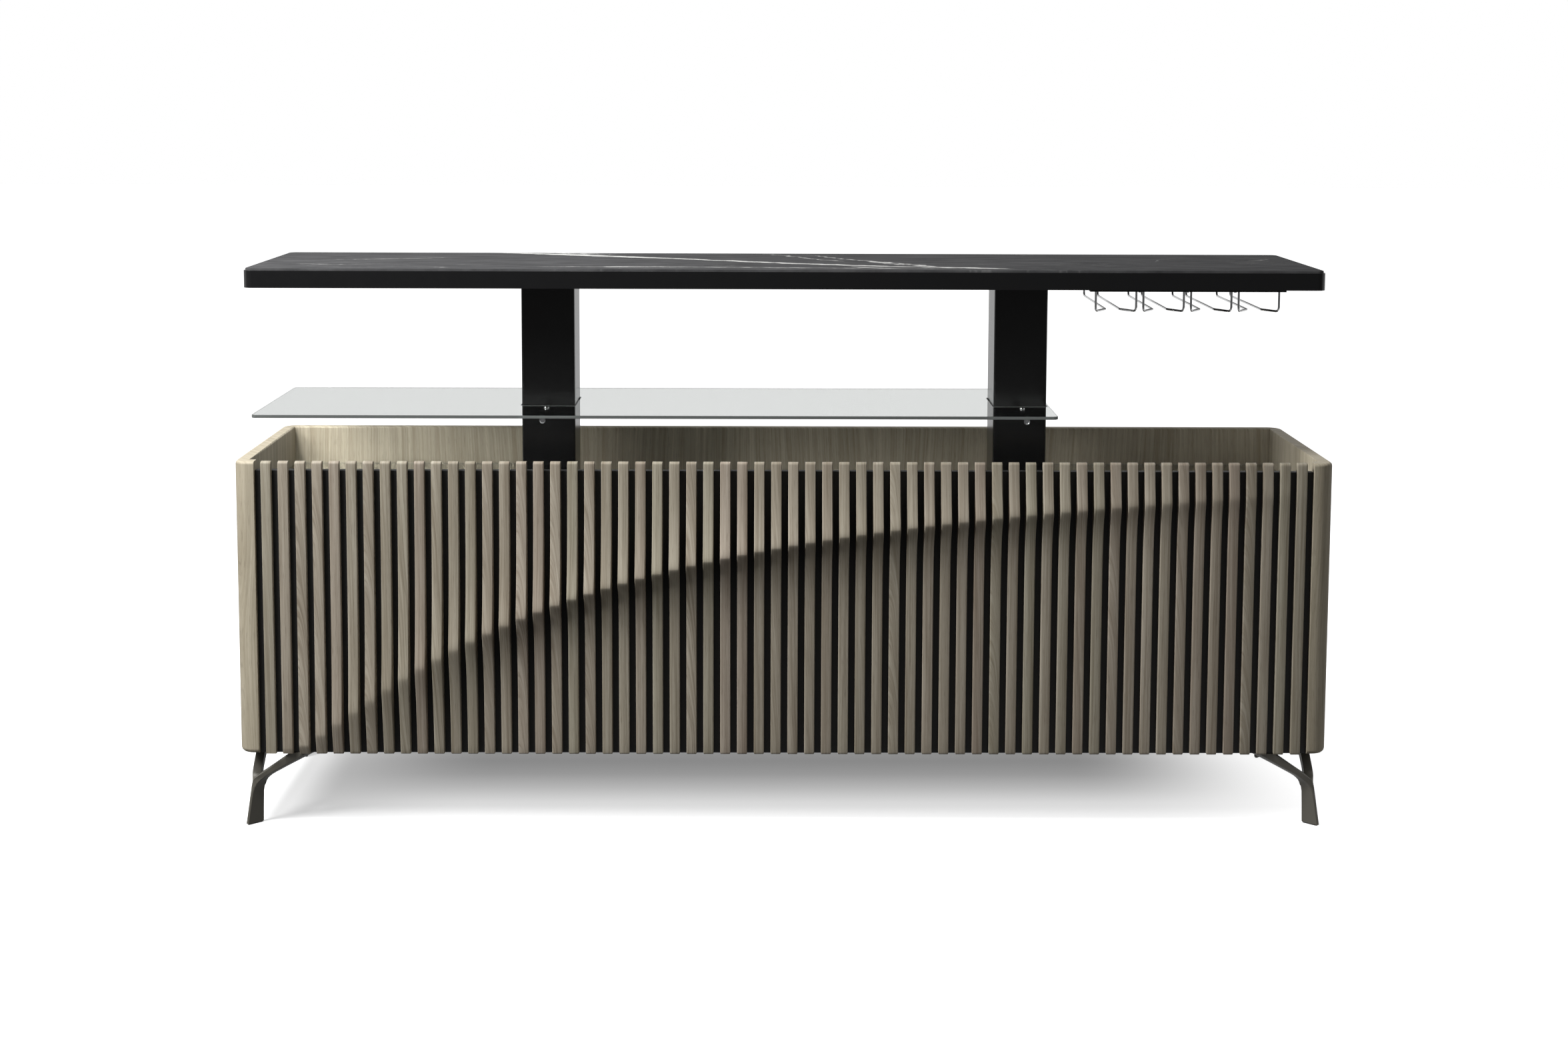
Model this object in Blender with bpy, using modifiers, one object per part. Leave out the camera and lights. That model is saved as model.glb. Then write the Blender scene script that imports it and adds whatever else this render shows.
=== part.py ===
"""Bar sideboard: a slatted wooden case whose marble topped bar rises on two motor lift columns.

Lengths are in metres and +Z is up. The floor is at zero and the origin lies under the middle of
the whole piece, front relief included. The front faces -Y.
"""

import math

import bmesh
import bpy
from mathutils import Matrix, Vector

# Case
case_width = 2.100
case_depth = 0.500
case_height = 0.569
leg_height = 0.142
wall = 0.026
corner_radius = 0.030
rim_outer_round = 0.006
rim_inner_round = 0.004
foot_edge_round = 0.009
post_width = 0.0397
post_depth = 0.028
bottom_thickness = 0.022

# Slatted front and its relief
slat_count = 62
slat_width = 0.0197
slat_depth = 0.010
slat_groove = 0.002
slat_round = 0.005
backing_drop = 0.018
relief_height = 0.037
crest_start = 0.087
crest_half_run = 0.5246
crest_limit = 0.598
crest_bend = 1.326
crest_lean = 0.75
crest_fall = 0.045
crest_floor = 0.012
crest_foot_share = 0.8
fall_row_shares = (1, 0.75, 0.5, 0.25, 0)
rise_row_shares = (0.15, 0.35, 0.6)
swell_power = 2.4
toe_share = 0.22

# Legs
leg_inset_x = 0.014
leg_inset_y = 0.003
leg_reach = 0.133
leg_ease = 0.0018
leg_plate_thickness = 0.0037
leg_plate_width = 0.024
leg_plate_room = 0.0006
leg_plate_setback = 0.003
glide_thickness = 0.002
glide_length = 0.033
glide_width = 0.0056
glide_setback = 0.0005

# Top, raised
lift_travel_room = 0.329
top_end_inset = 0.020
top_depth = 0.450
tray_thickness = 0.033
top_corner = 0.018
rim_width = 0.003
stone_thickness = 0.0192
stone_rise = 0.0045
head_plate_width = 0.180
head_plate_depth = 0.160
head_plate_thickness = 0.006

# Lift columns
column_inset = 0.584
column_width = 0.105
column_depth = 0.130
column_wall = 0.003
column_corner = 0.005
sleeve_length = 0.5197
mast_width = 0.090
mast_depth = 0.115
mast_overlap = 0.1703
mast_base_width = 0.150
mast_base_depth = 0.175
mast_base_thickness = 0.008
guide_height = 0.055
guide_setback = 0.005
guide_play = 0.0004

# Linear drives
drive_offset = 0.020
drive_tube_radius = 0.017
drive_bore_radius = 0.011
drive_tube_drop = 0.030
drive_bore_floor = 0.074
rod_radius = 0.010
rod_insertion = 0.060
rod_flange_radius = 0.020
rod_flange_thickness = 0.006
motor_radius = 0.022
motor_height = 0.120
motor_offset = 0.026
gearbox_width = 0.060
gearbox_depth = 0.094
gearbox_height = 0.034

# Glass shelves
glass_thickness = 0.006
glass_depth = 0.427
glass_corner = 0.010
shelf_rise = 0.0845
shelf_end_room = 0.0025
shelf_right_overhang = 0.006
notch_room = 0.002
well_shelf_drop = 0.075
well_shelf_room = 0.0015
peg_radius = 0.006
peg_length = 0.130
peg_dish_radius = 0.004
peg_dish_depth = 0.001
cap_radius = 0.005
cap_height = 0.003
cap_crown_share = 0.6
cap_brow_share = 0.9
cap_brow_height_share = 0.75
cap_base_height_share = 0.3
cap_shank_radius = 0.0025
cap_hole_room = 0.001
cap_distance = 0.041
arm_tip_room = 0.0495
arm_thickness = 0.008
arm_root_height = 0.026
arm_tip_height = 0.010
arm_spacing = 0.080
arm_flange_width = 0.026
arm_flange_height = 0.060
arm_flange_thickness = 0.004

# Stemware racks
rack_count = 4
rack_pitch = 0.091
rack_end_margin = 0.0876
rack_wire_radius = 0.00225
rack_mouth = 0.0772
rack_rail_spacing = 0.028
rack_drop = 0.041
rack_front_setback = 0.015
rack_flare_length = 0.044
rack_length = 0.350
rack_bend = 0.008
rack_strip_width = 0.020
rack_strip_thickness = 0.003
rack_strip_margin = 0.012

# Lift control
box_width = 0.200
box_depth = 0.090
box_height = 0.032
box_setback = 0.110
box_round = 0.004
inlet_width = 0.030
inlet_height = 0.022
inlet_depth = 0.020
inlet_cavity_depth = 0.014
inlet_wall = 0.003

# Fits
seat_gap = 0.0003
cut_overrun = 0.002

# Levels and planes that follow from the sizes
half_width = case_width / 2
half_depth = case_depth / 2
case_top = leg_height + case_height
floor_underside = leg_height + leg_plate_thickness + seat_gap
floor_top = floor_underside + bottom_thickness
top_underside = case_top + lift_travel_room
top_surface = top_underside + tray_thickness + stone_rise
front_plane = -half_depth
backing_front = front_plane + slat_depth
slat_back = backing_front + slat_groove
front_inside = front_plane + post_depth
opening_width = case_width - 2 * post_width
slat_gap = (opening_width - slat_count * slat_width) / (slat_count + 1)
leg_plate_front_edge = slat_depth + slat_groove + leg_plate_setback - leg_inset_y
crest_start_x = -half_width + crest_start
crest_end_x = opening_width / 2
top_width = case_width - 2 * top_end_inset
column_x = half_width - column_inset
shelf_left_end = half_width - wall - shelf_end_room
sleeve_top = top_underside - seat_gap
sleeve_foot = sleeve_top - sleeve_length
mast_foot = floor_top + mast_base_thickness + 2 * seat_gap
mast_height = sleeve_foot + mast_overlap - mast_foot
drive_tube_top = mast_height - drive_tube_drop
rack_first = top_width / 2 - rack_end_margin - rack_mouth / 2 - (rack_count - 1) * rack_pitch
glass_top = case_top + shelf_rise
well_glass_top = case_top - well_shelf_drop

# Finishes: colour, roughness, metallic, transmission
ash_grey = ((0.42, 0.38, 0.31, 1), 0.55, 0, 0)
front_black = ((0.012, 0.012, 0.013, 1), 0.6, 0, 0)
marble_black = ((0.035, 0.035, 0.037, 1), 0.3, 0, 0)
lacquer_black = ((0.008, 0.008, 0.009, 1), 0.35, 0, 0)
steel_black = ((0.010, 0.010, 0.011, 1), 0.4, 0.6, 0)
cast_olive = ((0.055, 0.055, 0.045, 1), 0.45, 0.7, 0)
chrome = ((0.80, 0.80, 0.80, 1), 0.08, 1, 0)
clear_glass = ((0.88, 0.92, 0.91, 1), 0.02, 0, 1)
zinc = ((0.45, 0.46, 0.47, 1), 0.35, 1, 0)
nylon = ((0.75, 0.74, 0.70, 1), 0.5, 0, 0)
plastic_black = ((0.015, 0.015, 0.016, 1), 0.5, 0, 0)


def collection(name):
    """A new collection under the scene."""
    made = bpy.data.collections.new(name)
    bpy.context.scene.collection.children.link(made)
    return made


def guide(name, location, parent=None):
    """An empty that pieces are parented to."""
    empty = bpy.data.objects.new(name, None)
    empty.location = location
    empty.parent = parent
    empty.empty_display_size = wall
    parts.objects.link(empty)
    return empty


def material(name, finish):
    colour, roughness, metallic, transmission = finish
    made = bpy.data.materials.new(name)
    made.use_nodes = True
    shader = made.node_tree.nodes["Principled BSDF"]
    shader.inputs["Base Color"].default_value = colour
    shader.inputs["Roughness"].default_value = roughness
    shader.inputs["Metallic"].default_value = metallic
    shader.inputs["Transmission Weight"].default_value = transmission
    return made


def piece(name, data, finish, location=(0, 0, 0), turn=(0, 0, 0), moving=False):
    """One sub-part as an object, hung on the case or on the lift carriage."""
    made = bpy.data.objects.new(name, data)
    if not data.materials:
        data.materials.append(material(name + "_finish", finish))
    else:
        made.material_slots[0].link = "OBJECT"
        made.material_slots[0].material = material(name + "_finish", finish)
    made.parent = lift_carriage if moving else case_centre
    made.location = Vector(location) - (lift_carriage.location if moving else Vector())
    made.rotation_euler = [math.radians(angle) for angle in turn]
    parts.objects.link(made)
    return made


def cutter(name, data, location=(0, 0, 0), turn=(0, 0, 0), moving=False):
    """A guide shape for a Boolean, kept out of the parts."""
    made = bpy.data.objects.new(name, data)
    made.parent = lift_carriage if moving else case_centre
    made.location = Vector(location) - (lift_carriage.location if moving else Vector())
    made.rotation_euler = [math.radians(angle) for angle in turn]
    made.hide_render = True
    made.display_type = "WIRE"
    cutters.objects.link(made)
    return made


def combine(target, tool, operation="DIFFERENCE"):
    boolean = target.modifiers.new(tool.name, "BOOLEAN")
    boolean.operation = operation
    boolean.object = tool
    boolean.solver = "EXACT"


def ease_edges(target, width, segments=2, angle=50):
    """Round a piece's sharp edges."""
    bevel = target.modifiers.new("eased_edges", "BEVEL")
    bevel.width = width
    bevel.segments = segments
    bevel.limit_method = "ANGLE"
    bevel.angle_limit = math.radians(angle)


def shade_round(mesh, angle=35):
    mesh.shade_smooth()
    mesh.set_sharp_from_angle(angle=math.radians(angle))


def arc(center_x, center_y, radius, start, end, steps):
    """Points along an arc, with angles in degrees."""
    points = []
    for step in range(steps + 1):
        angle = math.radians(start + (end - start) * step / steps)
        points.append((center_x + radius * math.cos(angle), center_y + radius * math.sin(angle)))
    return points


def rounded_rectangle(width, depth, radius, center_x=0, center_y=0, steps=3):
    """A rectangle's outline with round corners, anticlockwise."""
    points = []
    for side_x, side_y, start in ((1, 1, 0), (-1, 1, 90), (-1, -1, 180), (1, -1, 270)):
        corner_x = center_x + side_x * (width / 2 - radius)
        corner_y = center_y + side_y * (depth / 2 - radius)
        points += arc(corner_x, corner_y, radius, start, start + 90, steps)
    return points


def mesh_from_curve(curve):
    """The evaluated mesh of a curve, with its caps welded on."""
    holder = bpy.data.objects.new(curve.name, curve)
    bpy.context.scene.collection.objects.link(holder)
    seen = holder.evaluated_get(bpy.context.evaluated_depsgraph_get())
    mesh = bpy.data.meshes.new_from_object(seen)
    mesh.name = curve.name
    form = bmesh.new()
    form.from_mesh(mesh)
    bmesh.ops.remove_doubles(form, verts=form.verts, dist=seat_gap / 10)
    bmesh.ops.dissolve_limit(form, angle_limit=math.radians(0.5), verts=form.verts, edges=form.edges)
    form.to_mesh(mesh)
    form.free()
    bpy.data.objects.remove(holder, do_unlink=True)
    return mesh


def plate(name, loops, thickness):
    """A flat outline, with any holes, made solid upwards from zero."""
    curve = bpy.data.curves.new(name, "CURVE")
    curve.dimensions = "2D"
    curve.fill_mode = "BOTH"
    curve.extrude = thickness / 2
    for loop in loops:
        spline = curve.splines.new("POLY")
        spline.points.add(len(loop) - 1)
        for point, (x, y) in zip(spline.points, loop):
            point.co = (x, y, 0, 1)
        spline.use_cyclic_u = True
    mesh = mesh_from_curve(curve)
    mesh.transform(Matrix.Translation((0, 0, thickness / 2)))
    return mesh


def block(name, width, depth, height):
    """A box that stands on zero, centred in plan."""
    mesh = bpy.data.meshes.new(name)
    form = bmesh.new()
    bmesh.ops.create_cube(form, size=1)
    bmesh.ops.scale(form, vec=(width, depth, height), verts=form.verts)
    bmesh.ops.translate(form, vec=(0, 0, height / 2), verts=form.verts)
    form.to_mesh(mesh)
    form.free()
    return mesh


def drum(name, radius, height, sides=24):
    """A cylinder that stands on zero."""
    mesh = bpy.data.meshes.new(name)
    form = bmesh.new()
    bmesh.ops.create_cone(
        form, cap_ends=True, segments=sides, radius1=radius, radius2=radius, depth=height
    )
    bmesh.ops.translate(form, vec=(0, 0, height / 2), verts=form.verts)
    form.to_mesh(mesh)
    form.free()
    shade_round(mesh)
    return mesh


def profile_mesh(name, points):
    """An open profile in the XZ plane, for a turned piece."""
    mesh = bpy.data.meshes.new(name)
    edges = [(index, index + 1) for index in range(len(points) - 1)]
    mesh.from_pydata([(x, 0, z) for x, z in points], edges, [])
    return mesh


def turn_round(target, steps=24):
    """Spin a piece's profile about its own Z axis."""
    screw = target.modifiers.new("turned", "SCREW")
    screw.angle = math.tau
    screw.steps = steps
    screw.render_steps = steps
    screw.use_merge_vertices = True
    screw.merge_threshold = 0.00005
    screw.use_smooth_shade = False


def loft(name, rings):
    """A closed body through rings of as many points each, with flat ends."""
    mesh = bpy.data.meshes.new(name)
    form = bmesh.new()
    loft_into(form, rings)
    bmesh.ops.recalc_face_normals(form, faces=form.faces)
    form.to_mesh(mesh)
    form.free()
    return mesh


def loft_into(form, rings):
    made = [[form.verts.new(point) for point in ring] for ring in rings]
    for low, high in zip(made, made[1:]):
        for index in range(len(low)):
            after = (index + 1) % len(low)
            form.faces.new((low[index], low[after], high[after], high[index]))
    form.faces.new(list(reversed(made[0])))
    form.faces.new(made[-1])


def round_edges(mesh, chosen, radius, segments):
    """Bevel the edges of a mesh whose middle point passes a test."""
    form = bmesh.new()
    form.from_mesh(mesh)
    edges = [edge for edge in form.edges if chosen((edge.verts[0].co + edge.verts[1].co) / 2)]
    bmesh.ops.bevel(
        form, geom=edges, offset=radius, segments=segments, profile=0.5, affect="EDGES", clamp_overlap=True
    )
    form.to_mesh(mesh)
    form.free()
    shade_round(mesh)


def bent(points, radius, steps=3):
    """A wire's path through its corners, each bent to a radius."""
    corners = [Vector(point) for point in points]
    path = [corners[0]]
    for before, corner, after in zip(corners, corners[1:], corners[2:]):
        inward = (before - corner).normalized()
        outward = (after - corner).normalized()
        half = inward.angle(outward) / 2
        center = corner + (inward + outward).normalized() * (radius / math.sin(half))
        start = (corner + inward * (radius / math.tan(half)) - center).normalized()
        end = (corner + outward * (radius / math.tan(half)) - center).normalized()
        path += [center + radius * start.slerp(end, step / steps) for step in range(steps + 1)]
    path.append(corners[-1])
    return path


def wire(name, path, radius):
    """A round wire along a path, as a curve with closed ends."""
    curve = bpy.data.curves.new(name, "CURVE")
    curve.dimensions = "3D"
    curve.bevel_depth = radius
    curve.bevel_resolution = 2
    curve.use_fill_caps = True
    spline = curve.splines.new("POLY")
    spline.points.add(len(path) - 1)
    for point, place in zip(spline.points, path):
        point.co = (*place, 1)
    return curve


# Case panels
def on_case_skin(x, y):
    """True where a plan point lies on the case's rounded outer skin."""
    beyond_x = abs(x) - (half_width - corner_radius)
    beyond_y = abs(y) - (half_depth - corner_radius)
    outside = math.hypot(max(beyond_x, 0), max(beyond_y, 0))
    inside = min(max(beyond_x, beyond_y), 0)
    return abs(outside + inside - corner_radius) < wall / 50


def on_inner_face(x, y):
    """True where a plan point lies on the inner face of a side or of the back."""
    near = wall / 50
    on_side = abs(abs(x) - (half_width - wall)) < near and y > front_inside + near
    on_back = abs(y - (half_depth - wall)) < near
    return on_side or on_back


def ease_case_panel(mesh):
    """Round a case panel's rim outside and inside, and its bottom edge outside."""
    level = wall / 50
    round_edges(
        mesh, lambda spot: spot.z > case_height - level and on_case_skin(spot.x, spot.y), rim_outer_round, 3
    )
    round_edges(
        mesh, lambda spot: spot.z > case_height - level and on_inner_face(spot.x, spot.y), rim_inner_round, 2
    )
    round_edges(mesh, lambda spot: spot.z < level and on_case_skin(spot.x, spot.y), foot_edge_round, 3)


def side_outline(side):
    """Plan of a side panel with its front post, mitred to the back."""
    mitre_slack = seat_gap * math.sqrt(2)
    front_round = arc(-half_width + corner_radius, front_plane + corner_radius, corner_radius, 270, 180, 6)
    back_round = arc(-half_width + corner_radius, half_depth - corner_radius, corner_radius, 180, 135, 3)
    mitre_x, mitre_y = back_round[-1]
    back_round[-1] = (mitre_x, mitre_y - mitre_slack)
    points = [(-half_width + post_width, front_plane)] + front_round + back_round
    points.append((-half_width + wall, half_depth - wall - mitre_slack))
    points.append((-half_width + wall, front_inside))
    points.append((-half_width + post_width, front_inside))
    return [(-side * x, y) for x, y in points]


def back_outline():
    """Plan of the back panel with its two mitred corners."""
    left = arc(-half_width + corner_radius, half_depth - corner_radius, corner_radius, 90, 135, 3)
    left.append((-half_width + wall, half_depth - wall))
    return left + [(-x, y) for x, y in reversed(left)]


def build_case():
    for word, side in (("left", -1), ("right", 1)):
        mesh = plate("side_panel_" + word, [side_outline(side)], case_height)
        ease_case_panel(mesh)
        piece("side_panel_" + word, mesh, ash_grey, (0, 0, leg_height))
    mesh = plate("back_panel", [back_outline()], case_height)
    ease_case_panel(mesh)
    piece("back_panel", mesh, ash_grey, (0, 0, leg_height))
    front = front_inside + seat_gap
    back = half_depth - wall - seat_gap
    mesh = block("bottom_panel", case_width - 2 * (wall + seat_gap), back - front, bottom_thickness)
    piece("bottom_panel", mesh, front_black, (0, (front + back) / 2, floor_underside))


# Slatted front: slats shaped to one relief, set in grooves of a black board
def relief_depth(x):
    """How far the crest stands out of the front at x."""
    run = (x - crest_start_x) / (crest_end_x - crest_start_x)
    return relief_height * math.sin(math.pi * min(max(run, 0), 1) ** crest_lean)


def crest_level(x):
    """Height of the crest line at x: it climbs fast from the left foot, then levels out."""
    climb = (max(x - crest_start_x, 0) / crest_half_run) ** crest_bend
    return leg_height + max(crest_limit * climb / (1 + climb), crest_floor)


def relief_at(x, z):
    """How far the front stands out at a point: it swells down to the crest and falls away under it."""
    crest = crest_level(x)
    if z >= crest:
        return relief_depth(x) * ((case_top - z) / (case_top - crest)) ** swell_power
    down = crest - z
    toe = toe_share * (1 - down / (crest - leg_height))
    fall = math.cos(math.pi / 2 * min(down / crest_fall, 1)) ** 2
    return relief_depth(x) * (toe + (1 - toe_share) * fall)


def slat_side(x):
    """A slat's side at x, from the back of its foot round the front to the back of its top."""
    crest = crest_level(x)
    fall = min(crest_fall, (crest - leg_height) * crest_foot_share)
    levels = [leg_height]
    levels += [crest - fall * share for share in fall_row_shares]
    levels += [crest + (case_top - crest) * share for share in rise_row_shares]
    round_start = case_top - slat_round
    levels.append(round_start)
    points = [(slat_back, leg_height)]
    points += [(front_plane - relief_at(x, z), z) for z in levels]
    centre = front_plane - relief_at(x, round_start) + slat_round
    points += arc(centre, round_start, slat_round, 180, 90, 3)[1:]
    points.append((slat_back, case_top))
    return points


def build_slatted_front():
    form = bmesh.new()
    for index in range(slat_count):
        left = -opening_width / 2 + slat_gap + index * (slat_width + slat_gap)
        sides = [[(x, y, z) for y, z in slat_side(x)] for x in (left, left + slat_width)]
        loft_into(form, sides)
    bmesh.ops.recalc_face_normals(form, faces=form.faces)
    slats = bpy.data.meshes.new("slats")
    form.to_mesh(slats)
    form.free()
    backing_foot = leg_height + seat_gap
    backing_height = case_top - backing_drop - backing_foot
    backing_depth = front_inside - backing_front
    board = block("slatted_front", opening_width - 2 * seat_gap, backing_depth, backing_height)
    middle = (backing_front + front_inside) / 2
    front = piece("slatted_front", board, ash_grey, (0, middle, backing_foot))
    combine(front, cutter("slats", slats), "UNION")
    plate_front = front_plane + leg_inset_y + leg_plate_front_edge - seat_gap
    plate_end = half_width - leg_inset_x - leg_reach - leg_plate_room - seat_gap
    width = opening_width / 2 - plate_end + cut_overrun
    depth = front_inside - plate_front + cut_overrun
    height = cut_overrun + leg_plate_thickness + seat_gap
    for word, side in (("left", -1), ("right", 1)):
        room = block("plate_room_" + word, width, depth, height)
        spot = (side * (plate_end + width / 2), plate_front + depth / 2, leg_height - cut_overrun)
        combine(front, cutter("plate_room_" + word, room, spot))


# Legs: a blade across each corner that splits into two arms along the case
# Each row: height share of the leg, then the outer, ridge, toe and heel corners of its section,
# along and across the front arm, as shares of the reach
leg_section_shares = (
    (0.000, (-0.022, 0.000), (0.007, -0.030), (0.204, 0.167), (0.175, 0.196)),
    (0.430, (0.037, 0.058), (0.067, 0.028), (0.215, 0.177), (0.186, 0.207)),
    (0.528, (0.044, 0.067), (0.112, 0.042), (0.247, 0.185), (0.184, 0.204)),
    (0.592, (0.050, 0.073), (0.175, 0.048), (0.272, 0.180), (0.176, 0.196)),
    (0.662, (0.132, 0.048), (0.262, 0.042), (0.347, 0.168), (0.143, 0.180)),
    (0.737, (0.245, 0.038), (0.390, 0.036), (0.483, 0.160), (0.245, 0.170)),
    (0.845, (0.408, 0.034), (0.588, 0.034), (0.690, 0.154), (0.408, 0.163)),
    (1.000, (0.638, 0.030), (0.870, 0.030), (1.000, 0.150), (0.638, 0.161)),
)


def blend(before, start, end, after, share):
    """A smooth value between start and end, led by their neighbours."""
    slope_in = (end - before) / 2
    slope_out = (after - start) / 2
    rest = 3 * (end - start) - 2 * slope_in - slope_out
    bend = slope_in + slope_out - 2 * (end - start)
    return start + share * (slope_in + share * (rest + share * bend))


def smooth_rows(rows, steps):
    """More rows on a smooth curve through the given ones."""
    made = []
    for index in range(len(rows) - 1):
        around = [rows[min(max(index + offset, 0), len(rows) - 1)] for offset in (-1, 0, 1, 2)]
        for step in range(steps):
            made.append([blend(*values, step / steps) for values in zip(*around)])
    made.append(list(rows[-1]))
    return made


def eased_section(corners, ease):
    """A section whose corners are each cut to two points."""
    points = []
    for index, corner in enumerate(corners):
        for other in (corners[index - 1], corners[(index + 1) % len(corners)]):
            points.append(corner + (other - corner).normalized() * ease)
    return points


def leg_mesh():
    """Half a leg in its own frame: X runs inward along the corner's diagonal."""
    rows = [[row[0]] + [value for corner in row[1:] for value in corner] for row in leg_section_shares]
    foot = glide_thickness + seat_gap
    height = leg_height - seat_gap - foot
    rings = []
    for row in smooth_rows(rows, 2):
        level = foot + row[0] * height
        corners = []
        for along, across in zip(row[1::2], row[2::2]):
            diagonal = (along + across) / math.sqrt(2) * leg_reach
            aside = (along - across) / math.sqrt(2) * leg_reach
            corners.append(Vector((diagonal, aside)))
        rings.append([(*point, level) for point in eased_section(corners, leg_ease)])
    return loft("leg", rings)


def leg_plate_mesh(side_x, side_y):
    """An angle plate in a case corner's underside that takes both arms of a leg."""
    edge_x = wall - leg_inset_x + leg_plate_room
    edge_y = wall - leg_inset_y + leg_plate_room
    if side_y < 0:
        edge_y = leg_plate_front_edge
    inner_x = edge_x + leg_plate_width
    inner_y = edge_y + leg_plate_width
    start_x = post_width - leg_inset_x + leg_plate_room
    start_y = post_depth - leg_inset_y + leg_plate_room
    end = leg_reach + leg_plate_room
    outline = [(start_x, edge_y), (end, edge_y), (end, inner_y), (inner_x, inner_y)]
    outline += [(inner_x, end), (edge_x, end), (edge_x, start_y), (start_x, start_y)]
    return plate("leg_plate", [[(-side_x * x, -side_y * y) for x, y in outline]], leg_plate_thickness)


def glide_mesh():
    """A slim pad with round ends under the foot of a leg."""
    half = glide_length / 2 - glide_width / 2
    outline = arc(half, 0, glide_width / 2, -90, 90, 4) + arc(-half, 0, glide_width / 2, 90, 270, 4)
    mesh = plate("glide", [outline], glide_thickness)
    mesh.transform(Matrix.Translation((glide_setback + glide_length / 2, 0, 0)))
    return mesh


def build_legs():
    leg = leg_mesh()
    glide = glide_mesh()
    spot_x = half_width - leg_inset_x
    spot_y = half_depth - leg_inset_y
    corners = (("front_left", -1, -1, 0), ("front_right", 1, -1, 90), ("back_right", 1, 1, 180))
    for word, side_x, side_y, angle in corners + (("back_left", -1, 1, 270),):
        spot = (side_x * spot_x, side_y * spot_y, 0)
        made = piece("leg_" + word, leg.copy(), cast_olive, spot, (0, 0, angle + 45))
        mirror = made.modifiers.new("other_arm", "MIRROR")
        mirror.use_axis = (False, True, False)
        mirror.use_bisect_axis = (False, True, False)
        mirror.merge_threshold = 0.00005
        piece("glide_" + word, glide.copy(), nylon, spot, (0, 0, angle + 45))
        spot = (side_x * spot_x, side_y * spot_y, leg_height)
        piece("leg_plate_" + word, leg_plate_mesh(side_x, side_y), steel_black, spot)


# Top: a stone slab that stands a little above the rim of its black tray
def build_top():
    outline = rounded_rectangle(top_width, top_depth, top_corner, steps=4)
    mesh = plate("top_frame", [outline], tray_thickness)
    frame = piece("top_frame", mesh, lacquer_black, (0, 0, top_underside), moving=True)
    inner = rounded_rectangle(
        top_width - 2 * rim_width, top_depth - 2 * rim_width, top_corner - rim_width, steps=4
    )
    pocket_floor = top_surface - stone_thickness - seat_gap
    pocket = plate("stone_pocket", [inner], stone_thickness + cut_overrun)
    combine(frame, cutter("stone_pocket", pocket, (0, 0, pocket_floor), moving=True))
    for word, side in (("left", -1), ("right", 1)):
        width = head_plate_width + 2 * seat_gap
        depth = head_plate_depth + 2 * seat_gap
        room = block("head_pocket_" + word, width, depth, head_plate_thickness + seat_gap + cut_overrun)
        spot = (side * column_x, 0, top_underside - cut_overrun)
        combine(frame, cutter("head_pocket_" + word, room, spot, moving=True))
        mesh = block("head_plate_" + word, head_plate_width, head_plate_depth, head_plate_thickness)
        spot = (side * column_x, 0, top_underside)
        piece("head_plate_" + word, mesh, steel_black, spot, moving=True)
    outline = rounded_rectangle(
        top_width - 2 * (rim_width + seat_gap),
        top_depth - 2 * (rim_width + seat_gap),
        top_corner - rim_width - seat_gap,
        steps=4,
    )
    mesh = plate("stone_top", [outline], stone_thickness)
    spot = (0, 0, top_surface - stone_thickness)
    piece("stone_top", mesh, marble_black, spot, moving=True)


# Lift columns: a sleeve under the top runs down over a mast that stands on the case floor
def box_tube(name, width, depth, inner_width, inner_depth, corner, height):
    """A rectangular tube with round corners."""
    thickness = (width - inner_width) / 2
    inner_corner = max(corner - thickness, corner / 4)
    outer = rounded_rectangle(width, depth, corner)
    inner = rounded_rectangle(inner_width, inner_depth, inner_corner)
    mesh = plate(name, [outer, inner], height)
    shade_round(mesh)
    return mesh


def build_columns():
    inner_width = column_width - 2 * column_wall
    inner_depth = column_depth - 2 * column_wall
    for word, side in (("left", -1), ("right", 1)):
        x = side * column_x
        mesh = box_tube(
            "column_sleeve_" + word, column_width, column_depth, inner_width, inner_depth, column_corner, sleeve_length
        )
        piece("column_sleeve_" + word, mesh, steel_black, (x, 0, sleeve_foot), moving=True)
        mesh = box_tube(
            "sleeve_guide_" + word,
            inner_width - 2 * seat_gap,
            inner_depth - 2 * seat_gap,
            mast_width + 2 * guide_play,
            mast_depth + 2 * guide_play,
            column_corner - column_wall,
            guide_height,
        )
        piece("sleeve_guide_" + word, mesh, nylon, (x, 0, sleeve_foot + guide_setback), moving=True)
        mesh = box_tube(
            "mast_guide_" + word,
            inner_width - 2 * guide_play,
            inner_depth - 2 * guide_play,
            mast_width + 2 * seat_gap,
            mast_depth + 2 * seat_gap,
            column_corner - column_wall,
            guide_height,
        )
        spot = (x, 0, mast_foot + mast_height - guide_setback - guide_height)
        piece("mast_guide_" + word, mesh, nylon, spot)
        mesh = box_tube(
            "mast_" + word,
            mast_width,
            mast_depth,
            mast_width - 2 * column_wall,
            mast_depth - 2 * column_wall,
            column_corner / 2,
            mast_height,
        )
        piece("mast_" + word, mesh, zinc, (x, 0, mast_foot))
        outline = rounded_rectangle(mast_base_width, mast_base_depth, column_corner)
        mesh = plate("mast_base_" + word, [outline], mast_base_thickness)
        piece("mast_base_" + word, mesh, steel_black, (x, 0, floor_top + seat_gap))
        build_drive(word, x)


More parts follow.
